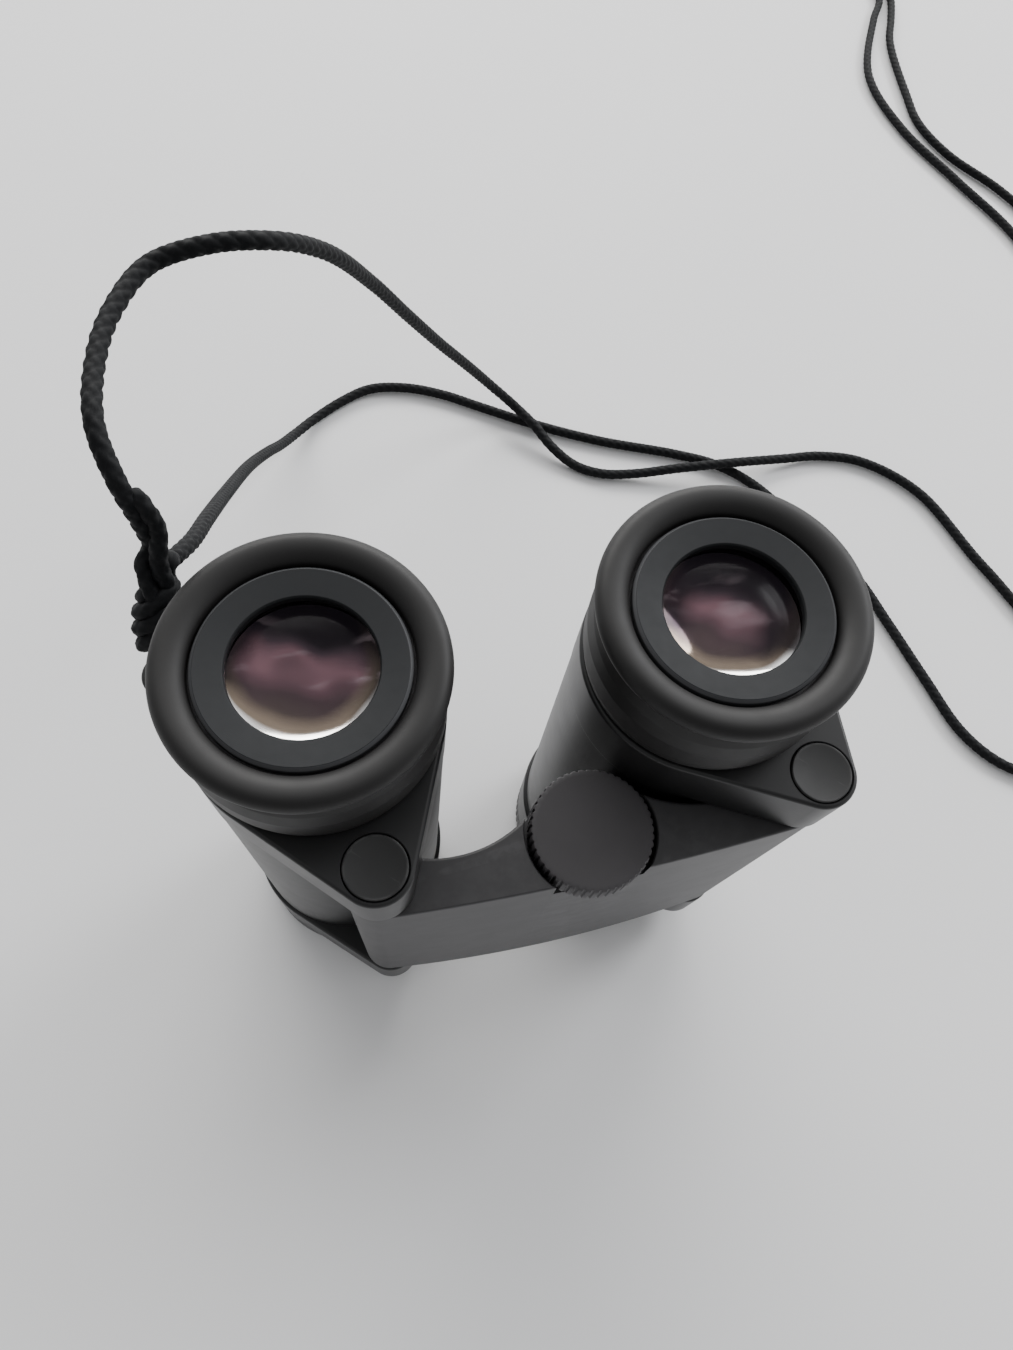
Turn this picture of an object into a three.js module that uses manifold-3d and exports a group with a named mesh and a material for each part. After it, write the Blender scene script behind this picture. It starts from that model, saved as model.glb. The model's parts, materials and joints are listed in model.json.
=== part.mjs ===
// Compact roof-prism binoculars with two hinges, standing on their objective ends, with a neck cord.
// Millimetres, +Z up. The origin is on the floor, in the middle of the footprint of everything but the cord.
import * as THREE from "three";
import { mergeVertices } from "three/addons/utils/BufferGeometryUtils.js";
import Module from "manifold-3d";

const wasm = await Module();
wasm.setup();

// ---- Driving dimensions ----
const GAP = 0.3; // clearance between neighbouring pieces

const HINGE_SPACING = 52.46; // between the two hinge axes
const BARREL_OFFSET = 19.47; // hinge axis to optical axis
const LEFT_SWING = 100.4; // degrees from +X to the left barrel, seen from its hinge
const RIGHT_SWING = 118.7; // the same for the right barrel, nearly folded in

const TUBE_R = 15.0; // outside of a barrel between its lugs
const BORE_R = 13.0; // inside of a barrel
const UPPER_LUG_R = 15.1; // round end of the upper lug, about the optical axis
const LOWER_LUG_R = 15.6;
const LUG_END_R = 4.36; // round end of a lug, about the hinge axis
const UPPER_LUG_Z = [69.3, 78.7];
const LOWER_LUG_Z = [5.0, 15.7];

const BRIDGE_Z = [16.0, 69.0];
const KNUCKLE_R = 4.1; // round ends of the bridge, about the hinge axes
const BRIDGE_BULGE = 1.5; // how far the front face swells in the middle
const HOLLOW_R = 16.0; // hollows in the back of the bridge that take the folded barrels
const HOLLOW_AT = [16.5, 17.4];
const NOSE_R = 7.8; // ridge between the hollows, about the focus axis

const FOCUS_Y = 0.82; // focus axis, behind the line of the hinges
const KNOB_R = 7.6;
const KNOB_Z = [65.6, 70.1];
const WELL_R = 8.2; // recess that the knob turns in
const WELL_FLOOR_Z = 65.2;
const SPINDLE_R = 1.5;

const PIN_R = 2.0;
const PIN_HEAD_R = 3.2;
const CAP_R = 3.61; // discs that cover the hinge pins
const CAP_POCKET_R = 3.85;
const POCKET_DEPTH = 4.5;

const BEZEL_Z = 92.0; // highest plane of the eyepiece's metal
const BEZEL_R = 11.33;
const EYE_LENS_R = 8.5;
const OCULAR_R = 12.0; // eyepiece tube
const EYECUP_R = 15.5; // rolled rim of the folded eyecup
const ROLL_R = 1.45;

const CELL_R = 12.6; // cages, cells and rings that sit in the bore
const OBJECTIVE_R = 10.4;
const RIM_R = 15.6; // objective ring that the barrel stands on
const RIM_TOP_Z = 4.7;

const EYELET_ANGLE = 229.6; // degrees about the left optical axis, from the hinge direction
const EYELET_REACH = 19.2; // optical axis to the middle of the eyelet's hole
const EYELET_Z = [72.4, 74.6];

const CORD_D = 2.2;
const CORD_STEPS = 44; // along each strand
const ON_FLOOR = CORD_D / 2 + 0.2;
const CROSSING = 3.9; // height of a strand's middle where it passes over the other

// The cord's two strands, each from the knot at the eyelet to the knot that ties their ends.
const FIRST_STRAND = [
  [-43.6, 38, 88.2],
  [-43.8, 38.2, 93.2],
  [-44.6, 39.8, 98.4],
  [-45.5, 44.6, 101.2],
  [-44.8, 52.8, 101.2],
  [-42.6, 60, 100.6],
  [-38.4, 66.2, 100],
  [-31.6, 67.5, 100.6],
  [-25.3, 68.6, 99.2],
  [-18.8, 75.4, 90.4],
  [-11.2, 87.8, 71.4],
  [-4.6, 95.8, 55.4],
  [3, 103.6, 38.4],
  [10.6, 109.8, 23.4],
  [17.4, 113.8, 11],
  [22.6, 112.8, 4.8],
  [26.3, 107.5, 3.6],
  [29.3, 101.8, 2.3],
  [33.6, 96.7, ON_FLOOR],
  [39, 93.5, ON_FLOOR],
  [46, 92, 1.6],
  [56, 90.8, 2.9],
  [67, 89.6, CROSSING],
  [82, 89.8, 1.8],
  [91.6, 89.3, ON_FLOOR],
  [101, 86, ON_FLOOR],
  [111.3, 75.7, ON_FLOOR],
  [118.7, 54.2, ON_FLOOR],
  [129, 32, ON_FLOOR],
  [147, 28, ON_FLOOR],
  [162, 42, ON_FLOOR],
  [170, 72, ON_FLOOR],
  [175, 112, ON_FLOOR],
  [170.4, 148.6, ON_FLOOR],
  [162.6, 169.4, ON_FLOOR],
  [154.8, 190.4, ON_FLOOR],
  [153.2, 212.4, ON_FLOOR],
  [164.2, 236.4, ON_FLOOR],
  [169.6, 245, ON_FLOOR],
  [171.4, 254.4, 2],
];
const SECOND_STRAND = [
  [-43, 39.8, 81.6],
  [-41.2, 44.4, 77.4],
  [-40, 52.5, 69.4],
  [-38.5, 68.3, 52],
  [-35.7, 87.3, 31.6],
  [-32.7, 98.7, 19.2],
  [-29.9, 107, 10],
  [-26.4, 114.2, 3.6],
  [-22.4, 118.5, 1.6],
  [-15.2, 122.8, ON_FLOOR],
  [-8.2, 125.2, ON_FLOOR],
  [0, 124.2, ON_FLOOR],
  [8, 120.9, ON_FLOOR],
  [15.8, 116.1, ON_FLOOR],
  [27, 109.3, ON_FLOOR],
  [41, 102.2, ON_FLOOR],
  [57.4, 95.7, ON_FLOOR],
  [66.3, 91.1, ON_FLOOR],
  [73, 84.6, ON_FLOOR],
  [80.4, 72, ON_FLOOR],
  [88, 58, ON_FLOOR],
  [91.2, 45, ON_FLOOR],
  [94.2, 31, ON_FLOOR],
  [97.1, 18.8, ON_FLOOR],
  [101.6, 11.4, ON_FLOOR],
  [108, 6.4, ON_FLOOR],
  [122, 0.6, ON_FLOOR],
  [148, 6, ON_FLOOR],
  [170, 26, ON_FLOOR],
  [181, 62, ON_FLOOR],
  [184.6, 100, ON_FLOOR],
  [182, 142, ON_FLOOR],
  [173.8, 164, ON_FLOOR],
  [164.4, 179, ON_FLOOR],
  [160.6, 192, ON_FLOOR],
  [161.6, 204, ON_FLOOR],
  [165.4, 226, ON_FLOOR],
  [170, 236.4, ON_FLOOR],
  [173.4, 245, ON_FLOOR],
  [174.6, 254.4, 2],
];
const KNOT_ENDS = [
  [-46.9, 31.6, 79.6],
  [-44.3, 36.6, 86.8],
];
const END_KNOT_ENDS = [
  [173, 254.8, 2.8],
  [173, 263, 2.8],
];
const KNOT_R = 2.7;

const ROUND = 32; // segments of the round pieces that show
const INNER_ROUND = 16; // segments of the round pieces inside

const rad = THREE.MathUtils.degToRad;

// ---- Materials ----
const finish = (color, roughness, metalness) =>
  new THREE.MeshStandardMaterial({ color, roughness, metalness });
const barrelEnamel = finish(0x2a2b2d, 0.45, 0.1);
const matteEnamel = finish(0x3c3b3d, 0.6, 0.1);
const rubber = finish(0x2b2b2d, 0.75, 0);
const anodised = finish(0x3a3e42, 0.5, 0.5);
const steel = finish(0x9a9c9e, 0.35, 1);
const brass = finish(0xb08d4a, 0.4, 1);
const glass = finish(0x9a7a90, 0.05, 0);
const cordFibre = finish(0x17181a, 0.9, 0);

// ---- Helpers ----
function solid(geometry) {
  const bare = geometry.index ? geometry.toNonIndexed() : geometry.clone();
  bare.deleteAttribute("normal");
  bare.deleteAttribute("uv");
  const merged = mergeVertices(bare, 1e-4);
  const vertProperties = merged.attributes.position.array;
  const triVerts = new Uint32Array(merged.index.array);
  return new wasm.Manifold(new wasm.Mesh({ numProp: 3, vertProperties, triVerts }));
}

function geometryOf(manifold) {
  const mesh = manifold.getMesh();
  const geometry = new THREE.BufferGeometry();
  geometry.setAttribute("position", new THREE.BufferAttribute(mesh.vertProperties, 3));
  geometry.setIndex(new THREE.BufferAttribute(mesh.triVerts, 1));
  const flat = geometry.toNonIndexed();
  flat.computeVertexNormals();
  return flat;
}

const joined = (...shapes) => geometryOf(shapes.map(solid).reduce((a, b) => a.add(b)));
const cut = (shape, ...tools) =>
  geometryOf(tools.map(solid).reduce((a, b) => a.subtract(b), solid(shape)));

// A solid of revolution about the vertical axis; the profile is a list of [radius, height].
function turned(profile, segments = ROUND) {
  const closed = profile[0][0] > 0 ? [...profile, profile[0]] : profile;
  const points = closed.map(([r, z]) => new THREE.Vector2(r, z));
  if (THREE.ShapeUtils.area(points) < 0) points.reverse();
  return new THREE.LatheGeometry(points, segments).rotateX(Math.PI / 2);
}

// A plain ring, and a disc when its inner radius is 0.
function ring(inner, outer, [low, high], segments = ROUND) {
  return turned([[inner, low], [outer, low], [outer, high], [inner, high]], segments);
}

function bar(radius, [low, high], x = 0, y = 0, segments = INNER_ROUND) {
  return ring(0, radius, [low, high], segments).translate(x, y, 0);
}

function block([x0, x1], [y0, y1], [z0, z1]) {
  const box = new THREE.BoxGeometry(x1 - x0, y1 - y0, z1 - z0);
  return box.translate((x0 + x1) / 2, (y0 + y1) / 2, (z0 + z1) / 2);
}

function extruded(shape, [low, high], curveSegments = 16) {
  const options = { depth: high - low, bevelEnabled: false, curveSegments };
  return new THREE.ExtrudeGeometry(shape, options).translate(0, 0, low);
}

function piece(parent, name, geometry, material) {
  const mesh = new THREE.Mesh(geometry, material);
  mesh.name = name;
  parent.add(mesh);
  return mesh;
}

const object = new THREE.Group();
const instrument = new THREE.Group(); // everything but the cord
const cordage = new THREE.Group();
object.add(instrument, cordage);

const hingeAt = { left: [-HINGE_SPACING / 2, 0], right: [HINGE_SPACING / 2, 0] };
const swing = { left: LEFT_SWING, right: RIGHT_SWING };

// ---- Bridge ----
// Plan outline: a swelling front face, a round knuckle on each hinge axis, and two hollows with a ridge
// between them.
function bridgeOutline() {
  const [hollowX, hollowY] = HOLLOW_AT;
  const half = HINGE_SPACING / 2;
  const towardsHinge = Math.atan2(-hollowY, half - hollowX);
  const noseX = hollowX;
  const noseY = hollowY - FOCUS_Y;
  const apart = Math.hypot(noseX, noseY);
  const turn = Math.acos((HOLLOW_R ** 2 + apart ** 2 - NOSE_R ** 2) / (2 * HOLLOW_R * apart));
  const towardsNose = Math.atan2(-noseY, -noseX) + turn;
  const cornerX = hollowX + HOLLOW_R * Math.cos(towardsNose);
  const cornerY = hollowY + HOLLOW_R * Math.sin(towardsNose);
  const noseFrom = Math.atan2(cornerY - FOCUS_Y, cornerX);
  const knuckleTo = towardsHinge + Math.PI;

  const shape = new THREE.Shape();
  shape.moveTo(-half, -KNUCKLE_R);
  shape.quadraticCurveTo(0, -KNUCKLE_R - 2 * BRIDGE_BULGE, half, -KNUCKLE_R);
  shape.absarc(half, 0, KNUCKLE_R, -Math.PI / 2, knuckleTo, false);
  shape.absarc(hollowX, hollowY, HOLLOW_R, towardsHinge, towardsNose, true);
  shape.absarc(0, FOCUS_Y, NOSE_R, noseFrom, Math.PI - noseFrom, false);
  shape.absarc(-hollowX, hollowY, HOLLOW_R, -Math.PI - towardsNose, -Math.PI - towardsHinge, true);
  shape.absarc(-half, 0, KNUCKLE_R, Math.PI - knuckleTo, 1.5 * Math.PI, false);
  return shape;
}

const PIN_DEPTH = 9; // how far a hinge pin reaches into the bridge
const CAVITY = { x: [-3.6, 3.6], y: [-2.4, 3.6], z: [BRIDGE_Z[0] - 1, 61] };
const COVER = { x: [-6.3, 6.3], y: [-3.0, 3.8], z: [BRIDGE_Z[0], BRIDGE_Z[0] + 1.6] };
const BUSH_R = 2.9;
const BUSH_Z = [61.4, 64.9];
const SCREW_AT = [[-5, -1.2], [5, -1.2]];
const SCREW_R = 0.8;

function addBridge(parent) {
  const [low, high] = BRIDGE_Z;
  const pinBores = Object.values(hingeAt).flatMap(([x, y]) => [
    bar(PIN_R + GAP, [high - PIN_DEPTH, high + 1], x, y),
    bar(PIN_R + GAP, [low - 1, low + PIN_DEPTH], x, y),
  ]);
  const grown = (range, by) => [range[0] - by, range[1] + by];
  const body = cut(
    extruded(bridgeOutline(), BRIDGE_Z),
    bar(WELL_R, [WELL_FLOOR_Z, high + 1], 0, FOCUS_Y, ROUND),
    bar(BUSH_R + GAP, [CAVITY.z[1] - 1, WELL_FLOOR_Z + 1], 0, FOCUS_Y),
    block(CAVITY.x, CAVITY.y, CAVITY.z),
    block(grown(COVER.x, GAP), grown(COVER.y, GAP), [low - 1, COVER.z[1] + GAP]),
    ...SCREW_AT.map(([x, y]) => bar(SCREW_R + GAP, [low, low + 6], x, y)),
    ...pinBores,
  );
  piece(parent, "bridge_body", body, matteEnamel);

  const cover = cut(
    block(COVER.x, COVER.y, COVER.z),
    bar(SPINDLE_R + GAP, [COVER.z[1] - 1, COVER.z[1] + 1], 0, FOCUS_Y),
    ...SCREW_AT.map(([x, y]) => bar(SCREW_R + GAP, [low - 1, COVER.z[1] + 1], x, y)),
  );
  piece(parent, "bridge_bottom_cover", cover, matteEnamel);
  SCREW_AT.forEach(([x, y], i) => {
    piece(parent, `cover_screw_${i + 1}`, bar(SCREW_R, [low + 0.2, low + 5], x, y, 16), steel);
  });
  const bush = ring(SPINDLE_R + GAP, BUSH_R, BUSH_Z, INNER_ROUND);
  piece(parent, "spindle_bush", bush.translate(0, FOCUS_Y, 0), brass);
}

// ---- Focusing drive in the bridge ----
const SPINDLE_Z = [COVER.z[1] - 0.7, 67.6];
const CARRIAGE_Z = [36, 44];

function addFocusDrive(parent) {
  const chamfer = 0.5;
  const knob = turned([
    [0, KNOB_Z[0]], [KNOB_R - chamfer, KNOB_Z[0]], [KNOB_R, KNOB_Z[0] + chamfer],
    [KNOB_R, KNOB_Z[1] - chamfer], [KNOB_R - chamfer, KNOB_Z[1]], [0, KNOB_Z[1]],
  ]);
  const bored = cut(knob, bar(SPINDLE_R + GAP, [KNOB_Z[0] - 1, SPINDLE_Z[1] + GAP]));
  piece(parent, "focus_knob", bored.translate(0, FOCUS_Y, 0), matteEnamel);
  piece(parent, "focus_spindle", bar(SPINDLE_R, SPINDLE_Z, 0, FOCUS_Y), steel);
  const carriage = cut(
    block([CAVITY.x[0] + GAP, CAVITY.x[1] - GAP], [CAVITY.y[0] + GAP, CAVITY.y[1] - GAP], CARRIAGE_Z),
    bar(SPINDLE_R + GAP, [CARRIAGE_Z[0] - 1, CARRIAGE_Z[1] + 1], 0, FOCUS_Y),
  );
  piece(parent, "focus_carriage", carriage, brass);
}

// ---- Hinges ----
const PIN_HEAD = 1.3;
const WASHER = 0.5;
const CAP = 1.2;

// Heights run outwards from the pocket's floor; facing is 1 for the upper hinge and -1 for the lower one.
function addHinge(parent, side, end, floor, reach, facing) {
  const [x, y] = hingeAt[side];
  const span = (from, to) => [floor + facing * from, floor + facing * to].sort((a, b) => a - b);
  const washer = ring(PIN_R + GAP, PIN_HEAD_R, span(GAP, GAP + WASHER), INNER_ROUND);
  const headFrom = 2 * GAP + WASHER;
  const shank = span(-reach, headFrom + PIN_HEAD / 2);
  const head = span(headFrom, headFrom + PIN_HEAD);
  const pin = joined(bar(PIN_R, shank), bar(PIN_HEAD_R, head));
  piece(parent, `hinge_pin_${end}_${side}`, pin.translate(x, y, 0), steel);
  piece(parent, `hinge_washer_${end}_${side}`, washer.translate(x, y, 0), brass);
}

function addHinges(parent) {
  for (const side of ["left", "right"]) {
    const top = UPPER_LUG_Z[1] - POCKET_DEPTH;
    const bottom = LOWER_LUG_Z[0] + POCKET_DEPTH;
    addHinge(parent, side, "upper", top, top - (BRIDGE_Z[1] - PIN_DEPTH + GAP), 1);
    addHinge(parent, side, "lower", bottom, BRIDGE_Z[0] + PIN_DEPTH - GAP - bottom, -1);
  }
}

// ---- Barrels, in a frame with the optical axis at the origin and the hinge on +X ----
// Plan of a lug: a large arc about the optical axis and a small one about the hinge axis, joined by tangents.
function lugOutline(radius) {
  const open = Math.acos((radius - LUG_END_R) / BARREL_OFFSET);
  const shape = new THREE.Shape();
  shape.absarc(0, 0, radius, open, 2 * Math.PI - open, false);
  shape.absarc(BARREL_OFFSET, 0, LUG_END_R, -open, open, false);
  return shape;
}

function housing() {
  const [lowFloor, lowTop] = LOWER_LUG_Z;
  const [highFloor, highTop] = UPPER_LUG_Z;
  const at = BARREL_OFFSET;
  return cut(
    joined(
      bar(TUBE_R, [lowTop - 1, highFloor + 1], 0, 0, ROUND),
      extruded(lugOutline(UPPER_LUG_R), UPPER_LUG_Z, 14),
      extruded(lugOutline(LOWER_LUG_R), LOWER_LUG_Z, 14),
    ),
    bar(BORE_R, [lowFloor - 1, highFloor], 0, 0, ROUND),
    bar(OCULAR_R + GAP, [highFloor - 1, highTop + 1], 0, 0, ROUND),
    bar(PIN_R + GAP, [lowFloor - 1, highTop + 1], at, 0),
    bar(CAP_POCKET_R, [highTop - POCKET_DEPTH, highTop + 1], at, 0),
    bar(CAP_POCKET_R, [lowFloor - 1, lowFloor + POCKET_DEPTH], at, 0),
  );
}

// Rubber eyecup turned down over the eyepiece: a rolled rim, a groove, and the bead of its folded lip.
function eyecup() {
  const inner = OCULAR_R + GAP;
  const rollZ = BEZEL_Z - 0.45;
  const rollAt = EYECUP_R - ROLL_R;
  const roll = [];
  for (let i = 0; i <= 6; i++) {
    const a = Math.PI - (i / 6) * 1.25 * Math.PI;
    roll.push([rollAt + ROLL_R * Math.cos(a), rollZ + ROLL_R * Math.sin(a)]);
  }
  const bottom = UPPER_LUG_Z[1] + GAP;
  return turned([
    [inner, bottom], [inner, BEZEL_Z - 3], ...roll,
    [13.9, 88.4], [14.4, 86.6], [15.0, 85.6], [15.1, 81.0], [14.7, bottom],
  ]);
}

const OCULAR_Z = [70, BEZEL_Z - 1.4];
const BEZEL_SEAT_R = 9.9;

function addEyepiece(parent, side) {
  const bore = EYE_LENS_R + GAP;
  const ocular = turned([
    [7, OCULAR_Z[0]], [OCULAR_R, OCULAR_Z[0]], [OCULAR_R, OCULAR_Z[1]], [BEZEL_SEAT_R, OCULAR_Z[1]],
    [BEZEL_SEAT_R, OCULAR_Z[1] - 2.4], [bore, OCULAR_Z[1] - 2.4], [bore, OCULAR_Z[0] + 1.5],
    [7, OCULAR_Z[0] + 1.5],
  ]);
  piece(parent, `eyepiece_tube_${side}`, ocular, anodised);

  const bezelFloor = OCULAR_Z[1] + GAP;
  const spigot = BEZEL_SEAT_R - GAP;
  const bezel = turned([
    [8.12, bezelFloor], [spigot - 0.6, bezelFloor], [spigot - 0.6, bezelFloor - 2], [spigot, bezelFloor - 2],
    [spigot, bezelFloor], [BEZEL_R, bezelFloor], [BEZEL_R, BEZEL_Z - 0.3], [BEZEL_R - 0.4, BEZEL_Z],
    [8.6, BEZEL_Z - 0.35], [8.12, BEZEL_Z - 0.7],
  ]);
  piece(parent, `bezel_ring_${side}`, bezel, anodised);

  piece(parent, `eye_lens_${side}`, lens(EYE_LENS_R, 86.4, 89.6, 0, 1.9), glass);
  piece(parent, `ocular_spacer_${side}`, ring(7.4, EYE_LENS_R, [75.6, 86.1], INNER_ROUND), anodised);
  piece(parent, `field_lens_${side}`, lens(EYE_LENS_R, 72.3, 74.2, 0, 1.0), glass);
  piece(parent, `eyecup_${side}`, eyecup(), rubber);
}

// A lens with an upright edge from low to high, domed below and above by the given sags.
function lens(radius, low, high, sagBelow, sagAbove) {
  const dome = (z, sag, facing) => {
    const sphere = (radius ** 2 + sag ** 2) / (2 * sag);
    const points = [];
    for (let i = 0; i <= 4; i++) {
      const r = radius * Math.sin((i / 4) * (Math.PI / 2));
      points.push([r, z + facing * (Math.sqrt(sphere ** 2 - r ** 2) - (sphere - sag))]);
    }
    return points;
  };
  const under = sagBelow > 0 ? dome(low, sagBelow, -1) : [[0, low], [radius, low]];
  const over = sagAbove > 0 ? dome(high, sagAbove, 1).reverse() : [[radius, high], [0, high]];
  return turned([...under, ...over], INNER_ROUND);
}

const CAGE_Z = [40, 67];
const PRISM_HALF = 7;

// Two prisms with a thin air gap that slopes between them; the outlines are in X and Z.
function addPrisms(parent, side) {
  const slot = PRISM_HALF + GAP;
  const cage = cut(
    ring(0, CELL_R, CAGE_Z, INNER_ROUND),
    block([-slot, slot], [-slot, slot], [CAGE_Z[0] - 1, CAGE_Z[1] + 1]),
  );
  piece(parent, `prism_cage_${side}`, cage, anodised);
  const prism = (outline) => {
    const shape = new THREE.Shape(outline.map(([x, z]) => new THREE.Vector2(x, z)));
    return extruded(shape, [-PRISM_HALF, PRISM_HALF]).rotateX(Math.PI / 2);
  };
  const w = PRISM_HALF;
  piece(parent, `half_penta_prism_${side}`, prism([[-w, 41], [w, 41], [w, 56], [-w, 50.2]]), glass);
  piece(parent, `roof_prism_${side}`, prism([[-w, 50.9], [w, 56.7], [w, 60], [0, 66], [-w, 66]]), glass);
}

function addFocusCell(parent, side) {
  const cell = turned([
    [8.4, 28], [CELL_R, 28], [CELL_R, 34], [9.2, 34], [9.2, 29], [8.4, 29],
  ], INNER_ROUND);
  piece(parent, `focus_cell_${side}`, cell, anodised);
  piece(parent, `focus_lens_${side}`, lens(8.9, 29.3, 31.6, 0, 1.2), glass);
}

function addObjective(parent, side, ringName) {
  const pocket = OBJECTIVE_R + GAP;
  const cell = turned([
    [9.6, 8.6], [CELL_R, 8.6], [CELL_R, 17], [pocket, 17], [pocket, 9.6], [9.6, 9.6],
  ], INNER_ROUND);
  piece(parent, `objective_cell_${side}`, cell, anodised);
  piece(parent, `objective_lens_${side}`, lens(OBJECTIVE_R, 11.2, 14, 1.2, 0), glass);
  piece(parent, `objective_retainer_${side}`, ring(9.2, OBJECTIVE_R, [14.4, 15.6], INNER_ROUND), anodised);
  const rim = turned([
    [12.4, 0], [RIM_R - 0.7, 0], [RIM_R, 0.7], [RIM_R, RIM_TOP_Z], [CELL_R, RIM_TOP_Z],
    [CELL_R, 8], [11, 8], [11, 4],
  ]);
  piece(parent, ringName, rim, barrelEnamel);
}

function addHingeCaps(parent, side) {
  const upper = [UPPER_LUG_Z[1] - CAP + 0.1, UPPER_LUG_Z[1] + 0.1];
  const lower = [LOWER_LUG_Z[0] - 0.1, LOWER_LUG_Z[0] + CAP - 0.1];
  piece(parent, `hinge_cap_upper_${side}`, bar(CAP_R, upper, BARREL_OFFSET, 0, 32), matteEnamel);
  piece(parent, `hinge_cap_lower_${side}`, bar(CAP_R, lower, BARREL_OFFSET, 0, 32), matteEnamel);
}

// Strap eyelet: a flat tab with a hole, rounded at its outer end, on a foot against the upper lug.
function eyelet() {
  const halfWidth = 2.9;
  const foot = UPPER_LUG_R + GAP;
  const shape = new THREE.Shape();
  shape.moveTo(foot, -halfWidth);
  shape.absarc(EYELET_REACH, 0, halfWidth, -Math.PI / 2, Math.PI / 2, false);
  shape.lineTo(foot, halfWidth);
  shape.closePath();
  const tab = cut(
    extruded(shape, EYELET_Z, 12),
    bar(CORD_D / 2 + 0.4, [EYELET_Z[0] - 1, EYELET_Z[1] + 1], EYELET_REACH, 0, 20),
  );
  const base = block([foot, foot + 1], [-halfWidth, halfWidth], [EYELET_Z[0] - 1.6, EYELET_Z[1] + 1.6]);
  return joined(tab, base).rotateZ(rad(EYELET_ANGLE));
}

function addBarrel(parent, side, ringName) {
  const [hingeX, hingeY] = hingeAt[side];
  const direction = rad(swing[side]);
  const barrel = new THREE.Group();
  const axisX = hingeX + BARREL_OFFSET * Math.cos(direction);
  const axisY = hingeY + BARREL_OFFSET * Math.sin(direction);
  barrel.position.set(axisX, axisY, 0);
  barrel.rotation.z = direction + Math.PI;
  parent.add(barrel);

  piece(barrel, `barrel_housing_${side}`, housing(), barrelEnamel);
  addEyepiece(barrel, side);
  addPrisms(barrel, side);
  addFocusCell(barrel, side);
  addObjective(barrel, side, ringName);
  addHingeCaps(barrel, side);
  return barrel;
}

// ---- Cord ----
function roundSection(radius, sides) {
  const points = [];
  for (let i = 0; i < sides; i++) {
    const a = (2 * Math.PI * i) / sides;
    points.push(new THREE.Vector2(radius * Math.cos(a), radius * Math.sin(a)));
  }
  return new THREE.Shape(points);
}

function tube(points, steps, sides = 8) {
  const extrudePath = new THREE.CatmullRomCurve3(points, false, "centripetal");
  const options = { steps, extrudePath, bevelEnabled: false };
  return new THREE.ExtrudeGeometry(roundSection(CORD_D / 2, sides), options);
}

// The loop that ties the knot to the eyelet: down through the hole and up again beside the tab.
// Its points are [distance from the optical axis, sideways shift, height].
function eyeletLoop(barrel) {
  const [low, high] = EYELET_Z;
  const at = EYELET_REACH;
  const local = [
    [at + 1.2, 1.0, high + 3.6],
    [at + 0.1, 0.1, high + 1.4],
    [at, 0, high],
    [at, 0, low],
    [at, 0.3, low - 1.1],
    [at, 1.3, low - 2.3],
    [at + 0.1, 2.5, low - 2.6],
    [at + 0.3, 3.8, low - 2.0],
    [at + 0.5, 4.5, low - 0.3],
    [at + 0.9, 4.5, high + 0.4],
    [at + 1.5, 3.5, high + 2.8],
  ];
  const a = rad(EYELET_ANGLE);
  barrel.updateMatrixWorld(true);
  return local.map(([r, side, z]) => {
    const x = r * Math.cos(a) + side * Math.sin(a);
    const y = r * Math.sin(a) - side * Math.cos(a);
    return new THREE.Vector3(x, y, z).applyMatrix4(barrel.matrixWorld);
  });
}

// A knot is a spindle between its two ends.
function addKnot(parent, name, ends) {
  const [bottom, top] = ends.map((p) => new THREE.Vector3(...p));
  const length = bottom.distanceTo(top);
  const half = [];
  for (let i = 0; i <= 8; i++) {
    const a = -Math.PI / 2 + (i / 8) * Math.PI;
    half.push([i === 0 || i === 8 ? 0 : KNOT_R * Math.cos(a), (length / 2) * Math.sin(a)]);
  }
  const knot = piece(parent, name, turned(half, 16), cordFibre);
  knot.position.copy(bottom.clone().add(top).multiplyScalar(0.5));
  knot.quaternion.setFromUnitVectors(new THREE.Vector3(0, 0, 1), top.clone().sub(bottom).normalize());
}

function addCord(parent, barrel) {
  const strand = (route) => tube(route.map((p) => new THREE.Vector3(...p)), CORD_STEPS);
  piece(parent, "neck_cord_first_strand", strand(FIRST_STRAND), cordFibre);
  piece(parent, "neck_cord_second_strand", strand(SECOND_STRAND), cordFibre);
  piece(parent, "cord_eyelet_loop", tube(eyeletLoop(barrel), 24), cordFibre);
  addKnot(parent, "cord_knot", KNOT_ENDS);
  addKnot(parent, "cord_end_knot", END_KNOT_ENDS);
}

// ---- Assembly ----
addBridge(instrument);
addFocusDrive(instrument);
addHinges(instrument);
const leftBarrel = addBarrel(instrument, "left", "objective_rim_left");
addBarrel(instrument, "right", "dioptre_ring_right");
piece(leftBarrel, "strap_eyelet", eyelet(), barrelEnamel);
addCord(cordage, leftBarrel);

// The origin goes to the middle of the footprint, on the floor.
const footprint = new THREE.Box3().setFromObject(instrument, true).getCenter(new THREE.Vector3());
object.position.set(-footprint.x, -footprint.y, 0);

export default object;
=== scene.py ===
"""Pocket binoculars with folded eyecups and a braided neck cord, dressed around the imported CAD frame.

Metres, +Z up. Lengths written in millimetres are multiplied by MM. A barrel piece is made about its own
optical axis, with the hinge on +X, and is then put on that axis; the bridge is made about the middle of
the line between the hinges.
"""
import json
import math

import bmesh
import bpy
import numpy as np
from mathutils import Matrix, Vector

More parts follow.
